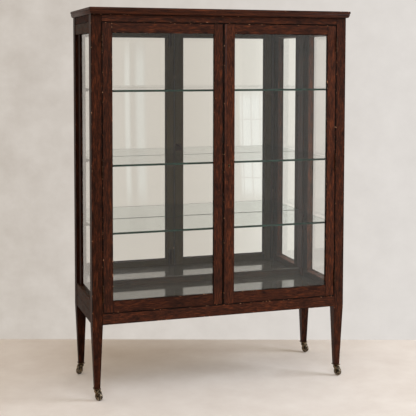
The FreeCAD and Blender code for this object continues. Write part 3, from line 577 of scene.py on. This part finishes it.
# %% Make slotted screw heads
HEAD_SIDES = 20
HEAD_POINT, HEAD_DEPTH, SLOT_HALF = 0.5, 0.5, 0.16  # shares of the head's radius
SLOT_DEPTH = 0.5  # share of the head's depth
STANDS_PROUD = 0.04 * MM
FIRST_TURN, NEXT_TURN = 0.4, 1.9  # radians


def facing_to(direction):
    """Matrix that turns the Z axis to a direction."""
    return Vector(direction).to_track_quat("Z", "Y").to_matrix().to_4x4()


def add_screw(bm, place, facing, radius, turn):
    """One countersunk head at place, looking along facing, with its slot turned by turn."""
    depth, slot = HEAD_DEPTH * radius, SLOT_HALF * radius
    verts = bmesh.ops.create_cone(bm, cap_ends=True, segments=HEAD_SIDES, radius1=HEAD_POINT * radius,
                                  radius2=radius, depth=depth)["verts"]
    for side in (-slot, slot):
        faces = list({face for vert in verts for face in vert.link_faces})
        edges = list({edge for vert in verts for edge in vert.link_edges})
        cut = bmesh.ops.bisect_plane(bm, geom=verts + edges + faces, plane_co=(side, 0, 0),
                                     plane_no=(1, 0, 0))["geom"]
        verts = list({*verts, *[item for item in cut if isinstance(item, bmesh.types.BMVert)]})
    top = [face for vert in verts for face in vert.link_faces
           if face.normal.z > 0.9 and abs(face.calc_center_median().x) < slot]
    pushed = bmesh.ops.extrude_face_region(bm, geom=top[:1])["geom"]
    sunk = [item for item in pushed if isinstance(item, bmesh.types.BMVert)]
    bmesh.ops.translate(bm, verts=sunk, vec=(0, 0, -SLOT_DEPTH * depth))
    flush = Matrix.Translation((0, 0, STANDS_PROUD - depth / 2))
    seat = Matrix.Translation(place) @ facing_to(facing) @ Matrix.Rotation(turn, 4, "Z") @ flush
    bmesh.ops.transform(bm, matrix=seat, verts=list({*verts, *sunk}))


def screws(name, places, facing, radius_mm, body, material):
    """A group of equal screws that face the same way."""
    bm = bmesh.new()
    for number, place in enumerate(places):
        add_screw(bm, Vector(place), facing, radius_mm * MM, FIRST_TURN + NEXT_TURN * number)
    print(name, "has", len(places))
    return new_piece(name, bm, material, body)


print("each slot is turned", round(math.degrees(NEXT_TURN)), "degrees from the one before")

# %% [markdown]
# ## Hinge screws
# Each butt hinge has two leaves, one let into the leg and one into the door, with three screws each. The
# middle one stands further from the knuckle than the two at the ends, so that they do not split the wood
# along one line of grain. Single screws could be copied about, but those of one side never move apart, so
# they are one mesh, which rides the body that the leaves are on.

# %% Screw the hinges on
HINGE_LENGTH = 65 * MM
HINGE_SCREW_PITCH = 23 * MM
END_SCREW_INSET, MIDDLE_SCREW_INSET = 5 * MM, 9 * MM
HINGE_SCREW = 2.7  # radius of the head in millimetres, as for all the screws

low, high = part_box("left_door_hinge_leaves")
hinge_middles = [low[2] + HINGE_LENGTH / 2, (low[2] + high[2]) / 2, high[2] - HINGE_LENGTH / 2]
leaf_edge = high[1]
leg_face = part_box("front_left_leg")[1][0]
stile_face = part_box("left_door_hinge_stile")[0][0]


def leaf_places(x):
    """Three staggered screws in each of the three leaves on the face at x."""
    places = []
    for middle in hinge_middles:
        for step in (-1, 0, 1):
            inset = END_SCREW_INSET if step else MIDDLE_SCREW_INSET
            places.append((x, leaf_edge - inset, middle + step * HINGE_SCREW_PITCH))
    return places


for name, x, facing, body in (
    ("left_case_hinge_screws", leg_face, 1, "case"),
    ("right_case_hinge_screws", -leg_face, -1, "case"),
    ("left_door_hinge_screws", stile_face, -1, "left_door"),
    ("right_door_hinge_screws", -stile_face, 1, "right_door"),
):
    screws(name, leaf_places(x), (facing, 0, 0), HINGE_SCREW, body, hinge_brass)
print("hinges at heights", [round(z, 4) for z in hinge_middles])

# %% [markdown]
# ## Screws of the lock and the flat bolts
# The lock is let into the back of the right door. Four screws hold its case, and two more go through the
# selvage, which is the plate on the edge of the door that the bolt comes out of. The flat bolts slide on two
# plates on the back of the left door, each with four screws. The places are measured from the boxes of the
# solids and not typed in, so the heads sit where the fittings are.

# %% Screw the lock and the bolts on
LOCK_EDGE_SCREW, LOCK_CASE_SCREW, BOLT_SCREW = 2.3, 2.0, 1.7
SELVAGE_SCREW_IN, SELVAGE_SCREW_END = 7.5 * MM, 7 * MM
LOCK_SCREW_NEAR, LOCK_SCREW_FAR = 7 * MM, 5 * MM  # in from the selvage, and from the other edges
PLATE_LENGTH, PLATE_THICKNESS = 60 * MM, 2 * MM
PLATE_SCREW_ASIDE, PLATE_SCREW_ALONG = 6.9 * MM, 13 * MM

low, high = corners_of("lock_case")
selvage_ends = (low.z + SELVAGE_SCREW_END, high.z - SELVAGE_SCREW_END)
places = [(low.x, high.y - SELVAGE_SCREW_IN, z) for z in selvage_ends]
screws("lock_edge_screws", places, (-1, 0, 0), LOCK_EDGE_SCREW, "right_door", hinge_brass)
places = [(x, high.y, z) for x in (low.x + LOCK_SCREW_NEAR, high.x - LOCK_SCREW_FAR)
          for z in (low.z + LOCK_SCREW_FAR, high.z - LOCK_SCREW_FAR)]
screws("lock_case_screws", places, (0, 1, 0), LOCK_CASE_SCREW, "right_door", hinge_brass)

low, high = corners_of("flat_bolt_plates")
middle_x, face_y = (low.x + high.x) / 2, low.y + PLATE_THICKNESS
plate_middles = (low.z + PLATE_LENGTH / 2, high.z - PLATE_LENGTH / 2)
places = [(middle_x + side * PLATE_SCREW_ASIDE, face_y, z + step * PLATE_SCREW_ALONG)
          for z in plate_middles for side in (-1, 1) for step in (-1, 1)]
screws("flat_bolt_screws", places, (0, 1, 0), BOLT_SCREW, "left_door", hinge_brass)

# %% [markdown]
# ## Castor screws and axle rivets
# Four small screws go up through the flange of each castor plate into the end of the leg. The axle is
# hammered over at both ends, which leaves two low domes on the cheeks of the fork. A sphere made flat is
# the quickest dome. The rivets ride the fork, because they stay still while the wheel rolls.

# %% Screw the castors on and rivet the axles
CORNERS = ("front_left", "front_right", "back_left", "back_right")
CASTOR_SCREW, CASTOR_SCREW_ASIDE = 1.6, 9.6 * MM
FLANGE_THICKNESS = 2.5 * MM
RIVET_RADIUS, RIVET_FLATNESS, RIVET_ASIDE = 3.4 * MM, 0.4, 10.3 * MM

places = []
for corner in CORNERS:
    low, high = corners_of(corner + "_leg")
    middle, underside = (low + high) / 2, low.z - FLANGE_THICKNESS
    places += [(middle.x + x * CASTOR_SCREW_ASIDE, middle.y + y * CASTOR_SCREW_ASIDE, underside)
               for x in (-1, 1) for y in (-1, 1)]
screws("castor_plate_screws", places, (0, 0, -1), CASTOR_SCREW, "case", castor_brass)

for corner in CORNERS:
    middle, axle = axle_of(corner + "_castor_wheel")
    bm = bmesh.new()
    for side in (-1, 1):
        dome = bmesh.ops.create_uvsphere(bm, u_segments=16, v_segments=8, radius=RIVET_RADIUS)["verts"]
        bmesh.ops.scale(bm, vec=(1, 1, RIVET_FLATNESS), verts=dome)
        end = Matrix.Translation(middle + axle.normalized() * side * RIVET_ASIDE)
        bmesh.ops.transform(bm, matrix=end @ facing_to(axle * side), verts=dome)
    for face in bm.faces:
        face.smooth = True
    new_piece(corner + "_axle_rivets", bm, castor_brass, corner + "_castor_fork")
print("rivets on", len(CORNERS), "axles")

# %% [markdown]
# ## Pins in the backing board
# The backing board is held by pins, all round its edge and a little more than a hand's width apart. Each
# could be a sphere, but a flat cone of ten sides is as fine as anyone will look.

# %% Pin the backing board
PIN_INSET, PIN_PITCH = 4 * MM, 130 * MM
PIN_FOOT, PIN_HEAD, PIN_HEIGHT, PIN_LIFT = 2.2 * MM, 1.2 * MM, 0.8 * MM, 0.3 * MM

low, high = corners_of("back_board")
columns = round((high.x - low.x) / PIN_PITCH)
rows = round((high.z - low.z) / PIN_PITCH)
spots = [(low.x + PIN_INSET + (high.x - low.x - 2 * PIN_INSET) * i / columns, z)
         for i in range(columns + 1) for z in (low.z + PIN_INSET, high.z - PIN_INSET)]
spots += [(x, low.z + PIN_INSET + (high.z - low.z - 2 * PIN_INSET) * j / rows)
          for j in range(1, rows) for x in (low.x + PIN_INSET, high.x - PIN_INSET)]
bm = bmesh.new()
for x, z in spots:
    head = bmesh.ops.create_cone(bm, cap_ends=True, segments=10, radius1=PIN_FOOT, radius2=PIN_HEAD,
                                 depth=PIN_HEIGHT)["verts"]
    seat = Matrix.Translation((x, high.y + PIN_LIFT, z)) @ facing_to((0, 1, 0))
    bmesh.ops.transform(bm, matrix=seat, verts=head)
new_piece("back_board_pins", bm, hinge_brass, "case")
print(len(spots), "pins in the backing board")

# %% [markdown]
# ## A studio
# The cabinet stands on a pale floor and before a pale wall. A whole room could be modelled, but two large
# flat faces are enough. Plain white looks like paper, so both are limewashed, in two close shades that lie
# in soft clouds.

# %% Set up the floor and the wall
STAGE_REACH = 30.0  # metres


def plane(name):
    """A large flat piece of the studio."""
    mesh = bpy.data.meshes.new(name)
    bm = bmesh.new()
    bmesh.ops.create_grid(bm, x_segments=1, y_segments=1, size=STAGE_REACH)
    bm.to_mesh(mesh)
    bm.free()
    obj = bpy.data.objects.new(name, mesh)
    bpy.context.scene.collection.objects.link(obj)
    return obj


def clouded(tree, pale, dark, cloud_mm):
    """Two close shades in soft clouds, as on limewash."""
    place = add(tree, "TexCoord").outputs["Object"]
    clouds = add(tree, "TexNoise", {"Vector": place, "Scale": 1 / (cloud_mm * MM), "Detail": 9.0,
                                    "Roughness": 0.62}).outputs["Fac"]
    clouds = add(tree, "MapRange", {"Value": clouds, "From Min": 0.3, "From Max": 0.7}).outputs[0]
    return add(tree, "Mix", {0: clouds, 6: linear(dark), 7: linear(pale)}, data_type="RGBA").outputs[2]


floor = plane("floor")
wall = plane("wall")
print("floor reaches", max(corner.co.x for corner in floor.data.vertices), "metres each way")

# %% [markdown]
# ## The floor
# The floor is matt and takes the shadows. Far off it fades to an even pale tone, as in a studio where the
# floor runs up into a cove, so that no edge of it shows. A cove could be modelled as a bent sheet, but its
# shading would show from other sides. Well in front of the cabinet the mirror does not see the floor, so
# that the room shows there.

# %% Limewash the floor
FLOOR_CLOUD = 170  # millimetres
MIRROR_FLOOR_END = -1.6  # metres, as the next two
COVE_STARTS, COVE_FULL = 2.2, 4.5

# Limewashed floor: matt, so it shows shadows and no reflections
limewash, tree = new_tree("pale matt floor")
matt = add(tree, "BsdfDiffuse", {"Color": clouded(tree, "F2EAE1", "E6DCD2", FLOOR_CLOUD)}).outputs[0]
place = add(tree, "TexCoord").outputs["Object"]
eye = add(tree, "LightPath").outputs["Is Camera Ray"]
reach = add(tree, "VectorMath", {0: place}, operation="LENGTH").outputs["Value"]
cove = add(tree, "MapRange", {"Value": reach, "From Min": COVE_STARTS, "From Max": COVE_FULL},
           interpolation_type="SMOOTHSTEP").outputs[0]
cove = add(tree, "Math", {0: cove, 1: eye}, operation="MULTIPLY").outputs[0]
even = add(tree, "Emission", {"Color": linear("E2DBD3")}).outputs[0]
seen_floor = add(tree, "MixShader", {0: cove, 1: matt, 2: even}).outputs[0]
in_front = add(tree, "Math", {0: add(tree, "SeparateXYZ", {0: place}).outputs[1], 1: MIRROR_FLOOR_END},
               operation="LESS_THAN").outputs[0]
unseen = add(tree, "Math", {0: in_front, 1: eye}, operation="SUBTRACT", use_clamp=True).outputs[0]
gone = add(tree, "BsdfTransparent").outputs[0]
surface = add(tree, "MixShader", {0: unseen, 1: seen_floor, 2: gone}).outputs[0]
add(tree, "OutputMaterial", {"Surface": surface})
floor.data.materials.append(limewash)
print("floor fades from", COVE_STARTS, "to", COVE_FULL, "metres")

# %% [markdown]
# ## The wall
# The wall runs square to the camera. Lamps would light it in patches, so it glows by itself, a little lighter
# to the right, where the light comes from. Only its front shows and it stops no light, so the back of the
# cabinet stays lit and in sight when one walks round it.

# %% Limewash the wall and put it up
CAMERA_PLACE = Vector((-1.2171, -3.7574, 1.3004))
HEADING = 0.312  # radians, to the right of straight ahead
WALL_DISTANCE = 4.454
WALL_CLOUD = 150  # millimetres
WALL_SHADES_REACH = 0.9  # metres to each side

# Limewashed plaster: pale and cloudy, with no gloss
backdrop, tree = new_tree("pale wall, lighter to the right")
across = add(tree, "SeparateXYZ", {0: add(tree, "TexCoord").outputs["Object"]}).outputs[0]
across = add(tree, "MapRange", {"Value": across, "From Min": -WALL_SHADES_REACH,
                                "From Max": WALL_SHADES_REACH}).outputs[0]
colour = add(tree, "Mix", {0: across, 6: clouded(tree, "D2CAC1", "C3BAB0", WALL_CLOUD),
                           7: clouded(tree, "E3DED9", "DCD7D2", WALL_CLOUD)}, data_type="RGBA").outputs[2]
glow = add(tree, "Emission", {"Color": colour, "Strength": 1.0}).outputs[0]
behind = add(tree, "NewGeometry").outputs["Backfacing"]
nothing = add(tree, "BsdfTransparent").outputs[0]
surface = add(tree, "MixShader", {0: behind, 1: glow, 2: nothing}).outputs[0]
add(tree, "OutputMaterial", {"Surface": surface})
wall.data.materials.append(backdrop)

sight_line = Vector((math.sin(HEADING), math.cos(HEADING), 0))
foot = CAMERA_PLACE + sight_line * WALL_DISTANCE
wall.rotation_euler = (math.radians(90), 0, -HEADING)
wall.location = (foot.x, foot.y, 0)
wall.visible_shadow = False
wall.visible_diffuse = False
print("wall foot at", [round(v, 3) for v in foot])

# %% [markdown]
# ## The lamps
# A large soft lamp stands to the right, like a window, and a larger one hangs over the front. A sun lamp
# would be simpler, but its shadows are hard, and big lamps give them soft edges. Both are a little blue, as
# daylight is beside the warm fill from the room.

# %% Hang the lamps
def soft_lamp(name, place, target, size, watts, colour):
    """A square lamp that looks at a target."""
    lamp = bpy.data.lights.new(name, "AREA")
    lamp.size = size
    lamp.energy = watts
    lamp.color = linear(colour)[:3]
    obj = bpy.data.objects.new(name, lamp)
    obj.location = place
    obj.rotation_euler = (Vector(target) - Vector(place)).to_track_quat("-Z", "Y").to_euler()
    bpy.context.scene.collection.objects.link(obj)
    return obj


lamps = [
    soft_lamp("window side lamp", place=(3.4, -1.4, 2.2), target=(0, 0, 0.6), size=1.6, watts=82,
              colour="E8F2FF"),
    soft_lamp("ceiling lamp", place=(-0.8, -3.2, 3.3), target=(-0.3, -0.6, 0), size=3.0, watts=78,
              colour="EFF5FF"),
]
print("lamps of", [lamp.data.energy for lamp in lamps], "watts")

# %% [markdown]
# ## The room in the mirror
# What the mirror and the panes show of the room is the world, which surrounds the scene. It could hold a
# photograph of a room, but soft shades by direction are enough: cream, and brighter to the right. Places in
# the room are written as parts of a direction of length 1, sideways and upwards.

# %% Paint the room
BRIGHTER_FROM, BRIGHTER_TO = 0.28, 0.40

world = bpy.data.worlds.new("room")
bpy.context.scene.world = world
world.use_nodes = True
tree = world.node_tree
tree.nodes.clear()
across, _, up = add(tree, "SeparateXYZ", {0: add(tree, "TexCoord").outputs["Generated"]}).outputs
side = add(tree, "MapRange", {"Value": across, "From Min": BRIGHTER_FROM, "From Max": BRIGHTER_TO},
           interpolation_type="SMOOTHSTEP").outputs[0]
room = add(tree, "Mix", {0: side, 6: linear("DCD5CC"), 7: linear("F9F7F0")}, data_type="RGBA").outputs[2]
print("room turns brighter from", BRIGHTER_FROM, "to", BRIGHTER_TO)

# %% [markdown]
# ## A curtain and a window in the room
# An even room would leave the mirror flat. Two pale folds, as of a curtain, hang to the left, and the faint
# panes of a window stand to the right. They could be built behind the camera as real pieces, but these
# would throw shadows, and shapes drawn on the world do not. The bars of the window are the mortar of a brick
# pattern whose rows are not shifted.

# %% Hang the folds and open the window
FOLDS = ((0.2265, 0.004), (0.2395, 0.007))  # middle and half width
FOLD_HANG = (-0.065, 0.095)
WINDOW_ACROSS, WINDOW_UP = (0.349, 0.013), (-0.085, 0.06)
PANE_WIDTH, PANE_HEIGHT, BAR_WIDTH = 0.0085, 0.03, 0.0011
PANE_LIGHT, BAR_LIGHT = 0.95, 0.2
HANG_EDGE, FOLD_EDGE, WINDOW_EDGE = 0.6, 0.2, 0.7  # share of the half width where fading starts


def strip(tree, way, middle, half, edge):
    """One within edge times half of the middle, fading to nought at half."""
    off = add(tree, "Math", {0: way, 1: middle}, operation="SUBTRACT").outputs[0]
    off = add(tree, "Math", {0: off}, operation="ABSOLUTE").outputs[0]
    return add(tree, "MapRange", {"Value": off, "From Min": half, "From Max": edge * half},
               interpolation_type="SMOOTHSTEP").outputs[0]


hang = strip(tree, up, *FOLD_HANG, HANG_EDGE)
for middle, half in FOLDS:
    fold = strip(tree, across, middle, half, FOLD_EDGE)
    fold = add(tree, "Math", {0: fold, 1: hang}, operation="MULTIPLY").outputs[0]
    room = add(tree, "Mix", {0: fold, 6: room, 7: linear("E8E5DE")}, data_type="RGBA").outputs[2]

sight = add(tree, "CombineXYZ", {0: across, 1: up}).outputs[0]
bars = add(tree, "TexBrick", {"Vector": sight, "Scale": 1.0, "Brick Width": PANE_WIDTH,
                              "Row Height": PANE_HEIGHT, "Mortar Size": BAR_WIDTH, "Mortar Smooth": 1.0},
           offset=0.0).outputs["Fac"]
light = add(tree, "MapRange", {"Value": bars, "To Min": PANE_LIGHT, "To Max": BAR_LIGHT}).outputs[0]
for way, (middle, half) in ((across, WINDOW_ACROSS), (up, WINDOW_UP)):
    opening = strip(tree, way, middle, half, WINDOW_EDGE)
    light = add(tree, "Math", {0: light, 1: opening}, operation="MULTIPLY").outputs[0]
room = add(tree, "Mix", {0: light, 6: room, 7: linear("FFFFFA")}, data_type="RGBA").outputs[2]
print(len(FOLDS), "folds, and a window", round(2 * WINDOW_ACROSS[1] / PANE_WIDTH, 1), "panes wide")

# %% [markdown]
# ## Light from the room
# The camera, reflections and views through glass see the painted room. Rays that only bring light get one
# even warm colour instead, so the folds and the window change no shadow. One sky for both would be simpler,
# but then each change in the mirror would change the light. A Light Path node tells the rays apart.

# %% Show the room to the eye alone
FILL_STRENGTH = 0.57

ray = add(tree, "LightPath").outputs
seen = add(tree, "Math", {0: ray["Is Camera Ray"], 1: ray["Is Glossy Ray"]}, operation="MAXIMUM").outputs[0]
seen = add(tree, "Math", {0: seen, 1: ray["Is Transmission Ray"]}, operation="MAXIMUM").outputs[0]
shown = add(tree, "Background", {"Color": room, "Strength": 1.0}).outputs[0]
fill = add(tree, "Background", {"Color": linear("FFF0DE"), "Strength": FILL_STRENGTH}).outputs[0]
surface = add(tree, "MixShader", {0: seen, 1: fill, 2: shown}).outputs[0]
add(tree, "OutputWorld", {"Surface": surface})
print("world of", len(tree.nodes), "nodes, fill light", FILL_STRENGTH)

# %% [markdown]
# ## The camera
# The viewpoint was worked out from the cabinet's own straight edges: the eye is 1.3 m up and to the left of
# the middle. The lens is long, and it is shifted down so that uprights stay nearly upright.

# %% Place the camera
IMAGE_SIDE = 416
FOCAL_PIXELS = 967.5
EYE_ROW = 120
TILT, ROLL = -0.061, 0.002  # radians

lens = bpy.data.cameras.new("camera")
lens.sensor_width = 36.0
lens.lens = FOCAL_PIXELS / IMAGE_SIDE * lens.sensor_width
lens.shift_y = (EYE_ROW - IMAGE_SIDE / 2) / IMAGE_SIDE
camera = bpy.data.objects.new("camera", lens)
turn = Matrix.Rotation(-HEADING, 4, "Z") @ Matrix.Rotation(math.pi / 2 + TILT, 4, "X")
camera.matrix_world = Matrix.Translation(CAMERA_PLACE) @ turn @ Matrix.Rotation(ROLL, 4, "Z")
bpy.context.scene.collection.objects.link(camera)
bpy.context.scene.camera = camera
bpy.context.scene.view_settings.view_transform = "Standard"
print("lens", round(lens.lens, 2), "mm, shift", round(lens.shift_y, 4))
